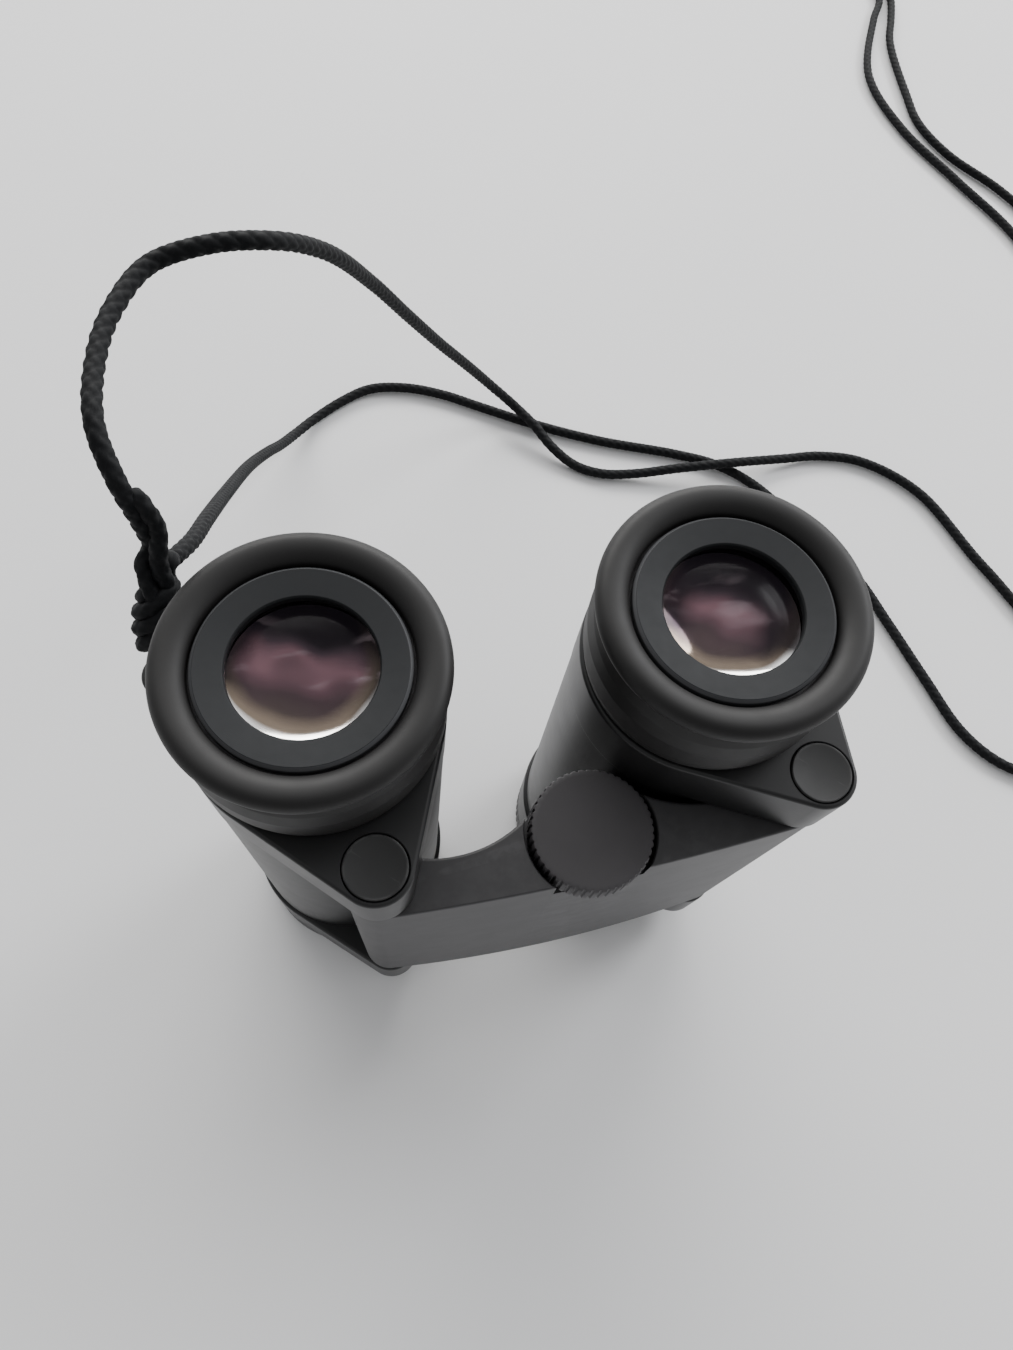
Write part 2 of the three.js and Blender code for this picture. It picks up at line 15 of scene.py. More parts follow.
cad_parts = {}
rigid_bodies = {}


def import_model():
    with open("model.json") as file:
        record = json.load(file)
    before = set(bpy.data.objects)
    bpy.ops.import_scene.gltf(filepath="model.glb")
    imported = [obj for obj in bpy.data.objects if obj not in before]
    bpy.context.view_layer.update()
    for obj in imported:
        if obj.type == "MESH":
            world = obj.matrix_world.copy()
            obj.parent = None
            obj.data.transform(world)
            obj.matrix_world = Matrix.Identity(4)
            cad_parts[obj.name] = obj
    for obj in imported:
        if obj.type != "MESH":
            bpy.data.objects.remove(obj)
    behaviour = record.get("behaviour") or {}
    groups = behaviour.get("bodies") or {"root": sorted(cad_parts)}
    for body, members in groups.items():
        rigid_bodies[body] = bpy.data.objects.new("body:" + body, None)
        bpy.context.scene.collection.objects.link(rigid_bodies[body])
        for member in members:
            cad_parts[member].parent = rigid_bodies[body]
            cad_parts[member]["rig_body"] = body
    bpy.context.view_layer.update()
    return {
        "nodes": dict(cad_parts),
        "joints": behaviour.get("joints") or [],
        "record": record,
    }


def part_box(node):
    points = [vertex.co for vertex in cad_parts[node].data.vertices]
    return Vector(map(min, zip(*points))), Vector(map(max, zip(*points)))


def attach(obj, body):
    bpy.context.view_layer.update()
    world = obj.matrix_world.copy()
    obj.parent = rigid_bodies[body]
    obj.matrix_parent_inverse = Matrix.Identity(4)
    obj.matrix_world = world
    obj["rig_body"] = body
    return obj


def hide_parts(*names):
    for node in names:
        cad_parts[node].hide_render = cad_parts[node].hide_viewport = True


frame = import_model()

MM = 0.001
NODES = frame["nodes"]
JOINTS = {j["name"]: j for j in frame["joints"]}
SLOT_OF = {s["node"]: s["material_slot"] for s in frame["record"]["subparts"]}
SIDES = ("left", "right")
TAU = 2 * math.pi

# ---- Camera ----
CAMERA_AT = (-0.01734, -0.03576, 0.1834)
LOOK = (0.16273, 0.35897, -0.91907)
CAMERA_UP = (0.17835, 0.90544, 0.38522)
LENS_MM = 25.74


def add_camera():
    data = bpy.data.cameras.new("camera")
    data.lens = LENS_MM
    data.clip_start = 0.005
    camera = bpy.data.objects.new("camera", data)
    look, up = Vector(LOOK).normalized(), Vector(CAMERA_UP)
    right = look.cross(up).normalized()
    up = right.cross(look)
    camera.matrix_world = Matrix.Translation(CAMERA_AT) @ Matrix((right, up, -look)).transposed().to_4x4()
    bpy.context.scene.collection.objects.link(camera)
    bpy.context.scene.camera = camera


add_camera()

# ---- Places taken from the frame ----
HINGE = {side: Vector(JOINTS[f"{side}_hinge"]["pos_m"][:2]) for side in SIDES}
BRIDGE_MIDDLE = (HINGE["left"] + HINGE["right"]) / 2
HALF_SPACING = (HINGE["right"] - HINGE["left"]).length / 2 / MM
FOCUS_AXIS = Vector(JOINTS["focus_turn"]["pos_m"][:2])
FOCUS_Y = (FOCUS_AXIS - BRIDGE_MIDDLE).y / MM


def centre_of(node):
    low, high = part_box(node)
    return (low + high).to_2d() / 2


def heights(node):
    low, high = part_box(node)
    return low.z / MM, high.z / MM


def radius_of(node):
    low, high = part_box(node)
    return (high.x - low.x) / 2 / MM


AXIS = {side: centre_of(f"bezel_ring_{side}") for side in SIDES}
TO_HINGE = {side: HINGE[side] - AXIS[side] for side in SIDES}
BARREL_TURN = {side: math.atan2(TO_HINGE[side].y, TO_HINGE[side].x) for side in SIDES}
BARREL_OFFSET = TO_HINGE["left"].length / MM
BRIDGE_Z = heights("bridge_body")
KNOB_Z = heights("focus_knob")
KNOB_R = radius_of("focus_knob")
BEZEL_R = radius_of("bezel_ring_left")
EYECUP_R = radius_of("eyecup_left")
CAP_R = radius_of("hinge_cap_upper_left")
RIM_R = radius_of("objective_rim_left")
REAR_R = 8.35  # the coated rear element inside an eyepiece


# ---- Materials ----
def set_stops(ramp, stops):
    """stops are (position, grey or colour)."""
    elements = ramp.color_ramp.elements
    while len(elements) < len(stops):
        elements.new(0.5)
    for element, (at, colour) in zip(elements, stops):
        element.position = at
        rgb = (colour,) * 3 if isinstance(colour, (int, float)) else colour
        element.color = (*rgb, 1)


class Look:
    """A Principled material whose nodes are added one at a time, in the piece's own coordinates."""

    def __init__(self, name):
        self.material = bpy.data.materials.new(name)
        self.material.use_nodes = True
        self.tree = self.material.node_tree
        self.shader = self.tree.nodes["Principled BSDF"]
        self.place = self.add("ShaderNodeTexCoord").outputs["Object"]

    def add(self, kind, **settings):
        node = self.tree.nodes.new(kind)
        for name, value in settings.items():
            setattr(node, name, value)
        return node

    def link(self, source, target):
        self.tree.links.new(source, target)

    def set(self, **values):
        for name, value in values.items():
            self.shader.inputs[name.replace("_", " ")].default_value = value

    def noise(self, scale, detail=3.0, roughness=0.55, place=None):
        node = self.add("ShaderNodeTexNoise")
        node.inputs["Scale"].default_value = scale
        node.inputs["Detail"].default_value = detail
        node.inputs["Roughness"].default_value = roughness
        self.link(place or self.place, node.inputs["Vector"])
        return node.outputs["Fac"]

    def mapped(self, place=None, **settings):
        """Coordinates moved, turned or stretched."""
        node = self.add("ShaderNodeMapping")
        for name, value in settings.items():
            node.inputs[name].default_value = value
        self.link(place or self.place, node.inputs["Vector"])
        return node.outputs["Vector"]

    def ramp(self, value, *stops):
        node = self.add("ShaderNodeValToRGB")
        set_stops(node, stops)
        self.link(value, node.inputs["Fac"])
        return node.outputs["Color"]

    def math(self, operation, a, b=0.0):
        node = self.add("ShaderNodeMath", operation=operation)
        for socket, value in zip(node.inputs, (a, b)):
            if isinstance(value, (int, float)):
                socket.default_value = value
            else:
                self.link(value, socket)
        return node.outputs["Value"]

    def mix(self, share, a, b):
        node = self.add("ShaderNodeMix", data_type="RGBA")
        for index, value in ((0, share), (6, a), (7, b)):
            socket = node.inputs[index]
            if isinstance(value, (int, float)):
                socket.default_value = value
            elif isinstance(value, tuple):
                socket.default_value = (*value, 1)
            else:
                self.link(value, socket)
        return node.outputs[2]

    def colour(self, value):
        self.link(value, self.shader.inputs["Base Color"])

    def roughness(self, value):
        self.link(value, self.shader.inputs["Roughness"])

    def bump(self, *layers):
        """layers are (height, depth in metres), laid over each other."""
        normal = None
        for height, depth in layers:
            node = self.add("ShaderNodeBump")
            node.inputs["Strength"].default_value = 1.0
            node.inputs["Distance"].default_value = depth
            self.link(height, node.inputs["Height"])
            if normal:
                self.link(normal, node.inputs["Normal"])
            normal = node.outputs["Normal"]
        self.link(normal, self.shader.inputs["Normal"])

    def split(self, place):
        node = self.add("ShaderNodeSeparateXYZ")
        self.link(place, node.inputs[0])
        return node.outputs["X"], node.outputs["Y"]

    def radius(self, centre=(0.0, 0.0)):
        """Distance from the piece's own axis, or from an upright line through another centre."""
        squares = []
        for socket, middle in zip(self.split(self.place), centre):
            offset = self.math("SUBTRACT", socket, middle)
            squares.append(self.math("MULTIPLY", offset, offset))
        return self.math("SQRT", self.math("ADD", *squares))

    def worn_edges(self, strength):
        """High on outer edges, broken up by a fine noise."""
        edge = self.ramp(self.add("ShaderNodeNewGeometry").outputs["Pointiness"], (0.515, 0.0), (0.56, 1.0))
        patches = self.ramp(self.noise(420, 4), (0.42, 0.0), (0.62, 1.0))
        return self.math("MULTIPLY", self.math("MULTIPLY", edge, patches), strength)


def enamel(name, colour, low, high, grain, wear, ior):
    """Black paint on metal: an even fine grain, faint smudges in the gloss, and pale worn edges.

    low and high are the ends of its roughness.
    """
    look = Look(name)
    smudge = look.noise(120, 5, 0.6)
    paint = look.ramp(smudge, (0.3, tuple(0.95 * c for c in colour)), (0.72, tuple(1.06 * c for c in colour)))
    worn = look.worn_edges(wear)
    look.colour(look.mix(worn, paint, tuple(min(1.0, 0.09 + 2.0 * c) for c in colour)))
    look.roughness(look.ramp(look.noise(300, 4), (0.3, low), (0.75, high)))
    look.bump((look.noise(grain, 2), 0.005 * MM), (look.noise(grain / 9, 2), 0.002 * MM))
    look.set(IOR=ior)
    return look.material


def rubber():
    """Soft moulded rubber with a dull bloom and a few dust specks."""
    look = Look("rubber")
    patches = look.noise(150, 5, 0.65)
    bloom = look.ramp(patches, (0.28, (0.0065, 0.006, 0.006)), (0.75, (0.0095, 0.009, 0.009)))
    specks = look.add("ShaderNodeTexVoronoi", feature="F1")
    specks.inputs["Scale"].default_value = 420
    look.link(look.place, specks.inputs["Vector"])
    dust = look.ramp(specks.outputs["Distance"], (0.03, 1.0), (0.06, 0.0))
    sparse = look.ramp(look.noise(300, 2), (0.62, 0.0), (0.7, 0.6))
    look.colour(look.mix(look.math("MULTIPLY", dust, sparse), bloom, (0.20, 0.20, 0.20)))
    look.roughness(look.ramp(look.noise(210, 4), (0.3, 0.52), (0.75, 0.60)))
    look.bump((look.noise(5200, 2), 0.003 * MM), (look.noise(500, 3), 0.008 * MM))
    look.set(IOR=1.42)
    return look.material


def anodised(name, colour, low, high, pale_from=None):
    """Dark anodised metal with the faint rings of a lathe, and a painted highlight, paler, beyond pale_from
    if that is given.
    """
    look = Look(name)
    darker, paler = (tuple(share * c for c in colour) for share in (0.95, 1.05))
    skin = look.ramp(look.noise(160, 4), (0.3, darker), (0.72, paler))
    # Painted highlight: the colour turns paler beyond pale_from, standing in for light caught on the outer
    # bevel.
    if pale_from:
        painted_rim_highlight = look.math("GREATER_THAN", look.radius(), pale_from * MM)
        skin = look.mix(look.math("MULTIPLY", painted_rim_highlight, 0.8), skin, (0.085, 0.087, 0.092))
    look.colour(skin)
    look.roughness(look.ramp(look.noise(700, 3), (0.3, low), (0.75, high)))
    rings = look.math("SINE", look.math("MULTIPLY", look.radius(), TAU / (0.16 * MM)))
    look.bump((look.noise(4200, 2), 0.003 * MM), (rings, 0.0006 * MM))
    look.set(Metallic=0.3, IOR=1.42)
    return look.material


def coated_glass(name, tint, film):
    """Polished glass whose coating turns its reflections purple."""
    look = Look(name)
    smear = look.noise(190, 4, 0.6)
    look.colour(look.ramp(smear, (0.3, tint), (0.75, tuple(min(1.0, 1.03 * c) for c in tint))))
    look.roughness(look.ramp(smear, (0.5, 0.0), (0.85, 0.02)))
    look.set(Transmission_Weight=1.0, IOR=1.5, Thin_Film_Thickness=film, Thin_Film_IOR=1.38)
    return look.material


def bloomed_glass():
    """The eye lens's outer shell: nearly all of it passes light, which leaves only a faint reflection."""
    look = Look("eye_glass")
    look.colour(look.ramp(look.noise(90, 1), (0.3, (0.03, 0.02, 0.028)), (0.75, (0.04, 0.03, 0.036))))
    look.set(Alpha=0.04, IOR=1.5, Roughness=0.18)
    return look.material


def coating(name, drift, painted_haze_strength, spread, lean):
    """The coated bowl inside an eyepiece: a dark metal mirror that also reflects the room, with painted
    reflections
    and painted shade in its colour: brown at the front, a painted mauve reflection across its middle, painted
    shade at the back, and a painted bronze and white crescent highlight at the front rim.

    drift moves the noise, painted_haze_strength is the strength of the painted whitish-pink sheen over the
    mauve, spread is how far from the axis the mauve starts to fade into painted shade, as a share of the
    radius, and lean turns the painted crescent about the axis.
    """
    look = Look(name)
    drifted = look.mapped(Location=drift)
    stretched = look.mapped(drifted, Rotation=(0, 0, 0.45), Scale=(0.45, 1.3, 1))
    per_radius = 1 / (REAR_R * MM)

    turned = look.add("ShaderNodeVectorRotate", rotation_type="Z_AXIS")
    turned.inputs["Angle"].default_value = 0.42
    look.link(look.place, turned.inputs["Vector"])
    _, backwards = look.split(turned.outputs["Vector"])
    level = look.math("MULTIPLY", backwards, 0.5 * per_radius)
    bend = look.math("MULTIPLY", look.math("SUBTRACT", look.noise(170, 1, 0.5, drifted), 0.5), 0.42)
    across = look.math("ADD", look.math("ADD", level, bend), 0.5)
    # Painted reflections from front to back: brown, then a mauve band, then painted shade, nearly black, at
    # the back.
    skin = look.ramp(
        across, (0.0, (0.080, 0.064, 0.054)), (0.22, (0.060, 0.046, 0.044)), (0.40, (0.060, 0.042, 0.046)),
        (0.52, (0.11, 0.064, 0.076)), (0.62, (0.20, 0.110, 0.130)), (0.73, (0.060, 0.042, 0.052)),
        (0.82, (0.012, 0.010, 0.013)), (1.0, (0.006, 0.005, 0.007)),
    )

    # From a point behind the axis the front rim is the farthest: a painted bronze reflection there, then a
    # painted white crescent highlight.
    offset = 2.5 * MM
    behind = (offset * math.sin(lean), offset * math.cos(lean))
    front_rim = look.math("MULTIPLY", look.radius(behind), 0.75 * per_radius)
    front_rim = look.math("SUBTRACT", front_rim, look.math("MULTIPLY", bend, 0.35))
    skin = look.mix(look.ramp(front_rim, (0.58, 0.0), (0.72, 1.0)), skin, (0.17, 0.135, 0.105))
    skin = look.mix(look.ramp(front_rim, (0.76, 0.0), (0.85, 1.0)), skin, (1.0, 1.0, 1.0))

    # Painted shade: towards the rim at the back the colour goes nearly black, as in the bezel's shadow.
    from_axis = look.math("MULTIPLY", look.radius(), per_radius)
    from_axis = look.math("SUBTRACT", from_axis, look.math("MULTIPLY", bend, 0.5))
    rim = look.ramp(from_axis, (spread, 0.0), (spread + 0.3, 1.0))
    back = look.ramp(across, (0.24, 0.0), (0.42, 0.9))
    skin = look.mix(look.math("MULTIPLY", rim, back), skin, (0.012, 0.010, 0.013))

    # A painted whitish-pink sheen of reflection, in wisps along the mauve belt.
    wisps = look.ramp(look.noise(330, 3, 0.55, stretched), (0.54, 0.0), (0.70, 1.0))
    belt = look.ramp(across, (0.50, 0.0), (0.64, 1.0), (0.76, 0.8), (0.88, 0.0))
    painted_haze = look.math("MULTIPLY", look.math("MULTIPLY", wisps, belt), painted_haze_strength)
    look.colour(look.mix(painted_haze, skin, (0.40, 0.32, 0.35)))
    look.roughness(look.ramp(look.noise(240, 2, 0.5, drifted), (0.35, 0.04), (0.7, 0.10)))
    look.bump((look.noise(170, 0, 0.5, drifted), 0.09 * MM))
    look.set(Metallic=1.0)
    return look.material


def metal(name, colour, low, high):
    """Bare machined metal with fine marks round its axis."""
    look = Look(name)
    marks = look.noise(1500, 3, place=look.mapped(Scale=(1, 1, 12)))
    look.colour(look.ramp(marks, (0.3, tuple(0.8 * c for c in colour)), (0.75, colour)))
    look.roughness(look.ramp(marks, (0.3, low), (0.75, high)))
    look.bump((marks, 0.003 * MM))
    look.set(Metallic=1.0)
    return look.material


def cord_fibre():
    """Black braided polyester with a fine fuzz."""
    look = Look("cord_fibre")
    fuzz = look.noise(6500, 3, 0.7)
    look.colour(look.ramp(fuzz, (0.3, (0.003, 0.0035, 0.004)), (0.75, (0.010, 0.0105, 0.012))))
    look.roughness(look.ramp(fuzz, (0.3, 0.6), (0.75, 0.8)))
    look.bump((look.noise(9000, 2), 0.03 * MM))
    look.set(IOR=1.27)
    return look.material


def baffle():
    """Inside walls of the eyepiece: matt black with fine turned steps."""
    look = Look("baffle")
    look.colour(look.ramp(look.noise(800, 3), (0.3, (0.008, 0.007, 0.008)), (0.75, (0.02, 0.018, 0.02))))
    look.roughness(look.ramp(look.noise(1200, 2), (0.3, 0.5), (0.75, 0.7)))
    look.bump((look.noise(3000, 2), 0.01 * MM))
    return look.material


LOOKS = {
    "barrel_enamel": enamel(
        "barrel_enamel", (0.009, 0.009, 0.0095), 0.37, 0.40, grain=3200, wear=0.0, ior=1.45,
    ),
    "matte_enamel": enamel(
        "matte_enamel", (0.027, 0.026, 0.028), 0.49, 0.52, grain=4200, wear=0.15, ior=1.52,
    ),
    "knob": enamel("knob", (0.040, 0.037, 0.040), 0.55, 0.64, grain=5200, wear=0.0, ior=1.5),
    "cap": enamel("cap", (0.019, 0.019, 0.019), 0.56, 0.64, grain=4200, wear=0.3, ior=1.45),
    "eyecup_rubber": rubber(),
    "black_anodised": anodised("black_anodised", (0.034, 0.038, 0.043), 0.42, 0.52),
    # The bezel's paler outer rim is a painted highlight.
    "bezel": anodised("bezel", (0.013, 0.014, 0.0155), 0.56, 0.64, pale_from=BEZEL_R - 0.32),
    "optical_glass": coated_glass("optical_glass", (0.90, 0.76, 0.84), 330.0),
    "eye_glass": bloomed_glass(),
    # The rear elements' colours hold painted reflections and painted shade.
    "coating_left": coating("coating_left", (0.011, 0.002, 0.0), painted_haze_strength=0.8, spread=0.66, lean=0.0),
    "coating_right": coating("coating_right", (0.052, -0.017, 0.0), painted_haze_strength=0.35, spread=0.36, lean=0.35),
    "brass": metal("brass", (0.55, 0.40, 0.17), 0.3, 0.42),
    "steel": metal("steel", (0.42, 0.42, 0.43), 0.28, 0.4),
    "braided_cord": cord_fibre(),
    "baffle": baffle(),
}


# ---- Shapes ----
def rounded(corners, closed=True, steps=4):
    """Points along a line of (x, y, radius) corners, each turned into an arc of its radius."""
    points = []
    count = len(corners)
    for i, (x, y, radius) in enumerate(corners):
        here = Vector((x, y))
        if radius == 0 or (not closed and i in (0, count - 1)):
            points.append(here)
            continue
        before = (Vector(corners[i - 1][:2]) - here).normalized()
        after = (Vector(corners[(i + 1) % count][:2]) - here).normalized()
        half = before.angle(after) / 2
        centre = here + (before + after).normalized() * (radius / math.sin(half))
        start = here + before * (radius / math.tan(half)) - centre
        sweep = start.angle_signed(here + after * (radius / math.tan(half)) - centre)
        for k in range(steps + 1):
            spin = Matrix.Rotation(-sweep * k / steps, 2)
            points.append(centre + spin @ start)
    return points


def arc(x, y, radius, start, end, steps):
    """Points on an arc, in degrees; the last point is left to the next stretch."""
    angles = [math.radians(start + (end - start) * i / steps) for i in range(steps)]
    return [Vector((x + radius * math.cos(a), y + radius * math.sin(a))) for a in angles]


def inset(outline, distance):
    """The closed outline moved inwards, corner by corner; the outline runs anticlockwise."""
    moved = []
    count = len(outline)
    for i, here in enumerate(outline):
        along_in = (here - outline[i - 1]).normalized()
        along_out = (outline[(i + 1) % count] - here).normalized()
        normal = Vector((-along_in.y - along_out.y, along_in.x + along_out.x)).normalized()
        shrink = max(0.4, normal.dot(Vector((-along_in.y, along_in.x))))
        moved.append(here + normal * (distance / shrink))
    return moved


def object_of(name, vertices, faces, scale=MM):
    mesh = bpy.data.meshes.new(name)
    mesh.from_pydata([tuple(scale * c for c in v) for v in vertices], [], faces)
    build = bmesh.new()
    build.from_mesh(mesh)
    bmesh.ops.remove_doubles(build, verts=build.verts, dist=1e-7)
    bmesh.ops.recalc_face_normals(build, faces=build.faces)
    build.to_mesh(mesh)
    build.free()
    made = bpy.data.objects.new(name, mesh)
    bpy.context.scene.collection.objects.link(made)
    return made


def shaded(made, angle=32):
    mesh = made.data
    mesh.polygons.foreach_set("use_smooth", [True] * len(mesh.polygons))
    mesh.set_sharp_from_angle(angle=math.radians(angle))
    return made


def lathe(name, profile, segments=96, teeth=0, depth=0.0):
    """A solid turned about Z from points (radius, height); a profile that leaves the axis closes on itself.

    With teeth, a point's third value says how much of the grooves' depth is cut there.
    """
    vertices, faces = [], []
    on_axis = profile[0][0] < 1e-6
    count = len(profile)
    for k in range(segments):
        a = TAU * k / segments
        groove = depth * max(0.0, math.cos(teeth * a)) ** 0.7 if teeth else 0.0
        for r, z, *share in profile:
            reach = r - groove * sum(share)
            vertices.append((reach * math.cos(a), reach * math.sin(a), z))
    for k in range(segments):
        here, beside = k * count, (k + 1) % segments * count
        for i in range(count - 1 if on_axis else count):
            j = (i + 1) % count
            corners = [here + i, beside + i, beside + j, here + j]
            if profile[i][0] < 1e-6:
                corners.remove(beside + i)
            if profile[j][0] < 1e-6:
                corners.remove(beside + j)
            if len(corners) > 2:
                faces.append(corners)
    return shaded(object_of(name, vertices, faces))


def prism(name, outline, low, high, edge):
    """An upright solid, with rounded top and bottom edges unless edge is 0."""
    rows = [(low, 0), (high, 0)]
    if edge:
        turns = [math.pi / 2 * k / 4 for k in range(5)]
        lower = [(low + edge * (1 - math.cos(a)), edge * (1 - math.sin(a))) for a in turns]
        rows = lower + [(high - (z - low), by) for z, by in reversed(lower)]
    vertices, faces = [], []
    count = len(outline)
    for z, by in rows:
        vertices += [(p.x, p.y, z) for p in (inset(outline, by) if by > 1e-6 else outline)]
    for k in range(len(rows) - 1):
        for i in range(count):
            j = (i + 1) % count
            faces.append([k * count + i, k * count + j, (k + 1) * count + j, (k + 1) * count + i])
    faces.append(list(range(count))[::-1])
    faces.append([(len(rows) - 1) * count + i for i in range(count)])
    return shaded(object_of(name, vertices, faces))


def combined(made, operation, others):
    """Joins or cuts with other solids, which are then gone."""
    for other in others:
        change = made.modifiers.new("combine", "BOOLEAN")
        change.operation = operation
        change.solver = "EXACT"
        change.object = other
        bpy.context.view_layer.update()
        mesh = bpy.data.meshes.new_from_object(made.evaluated_get(bpy.context.evaluated_depsgraph_get()))
        made.modifiers.clear()
        made.data = mesh
        bpy.data.objects.remove(other)
    return shaded(made)


def drill(radius, low, high, x=0.0, y=0.0, flare=0.0, segments=64):
    """A cutter for a round hole that is open at its top, where a flare leaves a chamfer."""
    profile = [(0, low), (radius, low)]
    if flare:
        profile += [(radius, high - flare), (radius + flare, high), (radius + flare, high + 1), (0, high + 1)]
    else:
        profile += [(radius, high), (0, high)]
    cutter = lathe("cutter", profile, segments)
    cutter.data.transform(Matrix.Translation((x * MM, y * MM, 0)))
    return cutter


def flipped(cutter, height):
    """The same cutter upside down about a height."""
    cutter.data.transform(Matrix.Translation((0, 0, 2 * height * MM)) @ Matrix.Scale(-1, 4, (0, 0, 1)))
    cutter.data.flip_normals()
    return cutter


def box_cutter(x0, x1, y0, y1, z0, z1):
    corners = [Vector((x0, y0)), Vector((x1, y0)), Vector((x1, y1)), Vector((x0, y1))]
    return prism("cutter", corners, z0, z1, edge=0)


def stands_for(made, node, look=None):
    """The new piece takes the CAD node's place, body and slot."""
    made.name = made.data.name = f"{node}_form"
    made.data.materials.clear()
    made.data.materials.append(LOOKS[look or SLOT_OF[node]])
    made.modifiers.new("even", "WEIGHTED_NORMAL").keep_sharp = True
    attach(made, NODES[node]["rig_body"])
    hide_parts(node)
    return made


def on_barrel(made, side):
    made.data.transform(Matrix.Rotation(BARREL_TURN[side], 4, "Z"))
    made.location = (*AXIS[side], 0)
    return made


# ---- Cord ----
CORD_D = 2.2
CORD_SIDES = 24
CORD_STEP = 0.21
STRANDS = 4  # in each direction round the braid
BRAID_PITCH = 1.9
ON_FLOOR = CORD_D / 2 + 0.2
CROSSING = 3.9
# The cord's two strands, each from the knot at the eyelet to the knot that ties their ends, measured
# from the bridge's middle.
FIRST_STRAND = [
    (-43.6, 38, 88.2),
    (-43.8, 38.2, 93.2),
    (-44.6, 39.8, 98.4),
    (-45.5, 44.6, 101.2),
    (-44.8, 52.8, 101.2),
    (-42.6, 60, 100.6),
    (-38.4, 66.2, 100),
    (-31.6, 67.5, 100.6),
    (-25.3, 68.6, 99.2),
    (-18.8, 75.4, 90.4),
    (-11.2, 87.8, 71.4),
    (-4.6, 95.8, 55.4),
    (3, 103.6, 38.4),
    (10.6, 109.8, 23.4),
    (17.4, 113.8, 11),
    (22.6, 112.8, 4.8),
    (26.3, 107.5, 3.6),
    (29.3, 101.8, 2.3),
    (33.6, 96.7, ON_FLOOR),
    (39, 93.5, ON_FLOOR),
    (46, 92, 1.6),
    (56, 90.8, 2.9),
    (67, 89.6, CROSSING),
    (82, 89.8, 1.8),
    (91.6, 89.3, ON_FLOOR),
    (101, 86, ON_FLOOR),
    (111.3, 75.7, ON_FLOOR),
    (118.7, 54.2, ON_FLOOR),
    (129, 32, ON_FLOOR),
    (147, 28, ON_FLOOR),
    (162, 42, ON_FLOOR),
    (170, 72, ON_FLOOR),
    (175, 112, ON_FLOOR),
    (170.4, 148.6, ON_FLOOR),
    (162.6, 169.4, ON_FLOOR),
    (154.8, 190.4, ON_FLOOR),
    (153.2, 212.4, ON_FLOOR),
    (164.2, 236.4, ON_FLOOR),
    (169.6, 245, ON_FLOOR),
    (171.4, 254.4, 2),
]
SECOND_STRAND = [
    (-43, 39.8, 81.6),
    (-41.2, 44.4, 77.4),
    (-40, 52.5, 69.4),
    (-38.5, 68.3, 52),
    (-35.7, 87.3, 31.6),
    (-32.7, 98.7, 19.2),
    (-29.9, 107, 10),
    (-26.4, 114.2, 3.6),
    (-22.4, 118.5, 1.6),
    (-15.2, 122.8, ON_FLOOR),
    (-8.2, 125.2, ON_FLOOR),
    (0, 124.2, ON_FLOOR),
    (8, 120.9, ON_FLOOR),
    (15.8, 116.1, ON_FLOOR),
    (27, 109.3, ON_FLOOR),
    (41, 102.2, ON_FLOOR),
    (57.4, 95.7, ON_FLOOR),
    (66.3, 91.1, ON_FLOOR),
    (73, 84.6, ON_FLOOR),
    (80.4, 72, ON_FLOOR),
    (88, 58, ON_FLOOR),
    (91.2, 45, ON_FLOOR),
    (94.2, 31, ON_FLOOR),
    (97.1, 18.8, ON_FLOOR),
    (101.6, 11.4, ON_FLOOR),
    (108, 6.4, ON_FLOOR),
    (122, 0.6, ON_FLOOR),
    (148, 6, ON_FLOOR),
    (170, 26, ON_FLOOR),
    (181, 62, ON_FLOOR),
    (184.6, 100, ON_FLOOR),
    (182, 142, ON_FLOOR),
    (173.8, 164, ON_FLOOR),
    (164.4, 179, ON_FLOOR),
    (160.6, 192, ON_FLOOR),
    (161.6, 204, ON_FLOOR),
    (165.4, 226, ON_FLOOR),
    (170, 236.4, ON_FLOOR),
    (173.4, 245, ON_FLOOR),
    (174.6, 254.4, 2),
]
KNOT_ENDS = [(-46.5, 29.6, 78.2), (-43.4, 37.2, 87.8)]
KNOT_TAIL = [(-43.6, 39.4, 97.0), (-42.8, 38.4, 94.8), (-42.4, 37.8, 91.6)]
END_KNOT_ENDS = [(173, 254.8, 2.8), (173, 263, 2.8)]
EYELET_ANGLE = math.radians(229.6)
EYELET_REACH = 19.2
EYELET_Z = (72.4, 74.6)


def spline(points, samples=24):
    """A centripetal Catmull-Rom curve through the points, as rows of coordinates."""
    p = np.array(points, float)
    p = np.vstack([2 * p[0] - p[1], p, 2 * p[-1] - p[-2]])
    rows = []
    for a, b, c, d in zip(p, p[1:], p[2:], p[3:]):
        t1 = np.linalg.norm(b - a) ** 0.5
        t2 = t1 + np.linalg.norm(c - b) ** 0.5
        t3 = t2 + np.linalg.norm(d - c) ** 0.5
        t = np.linspace(t1, t2, samples, endpoint=False)[:, None]
        ab = (t1 - t) / t1 * a + t / t1 * b
        bc = (t2 - t) / (t2 - t1) * b + (t - t1) / (t2 - t1) * c
        cd = (t3 - t) / (t3 - t2) * c + (t - t2) / (t3 - t2) * d
        abc = (t2 - t) / t2 * ab + t / t2 * bc
        bcd = (t3 - t) / (t3 - t1) * bc + (t - t1) / (t3 - t1) * cd
        rows.append((t2 - t) / (t2 - t1) * abc + (t - t1) / (t2 - t1) * bcd)
    return np.vstack([*rows, p[-2]])


def evenly(line, step):
    """The line again, in equal steps; also its length."""
    along = np.r_[0, np.cumsum(np.linalg.norm(np.diff(line, axis=0), axis=1))]
    count = max(3, int(along[-1] / step) + 1)
    at = np.linspace(0, along[-1], count)
    return np.column_stack([np.interp(at, along, line[:, i]) for i in range(3)]), along[-1]


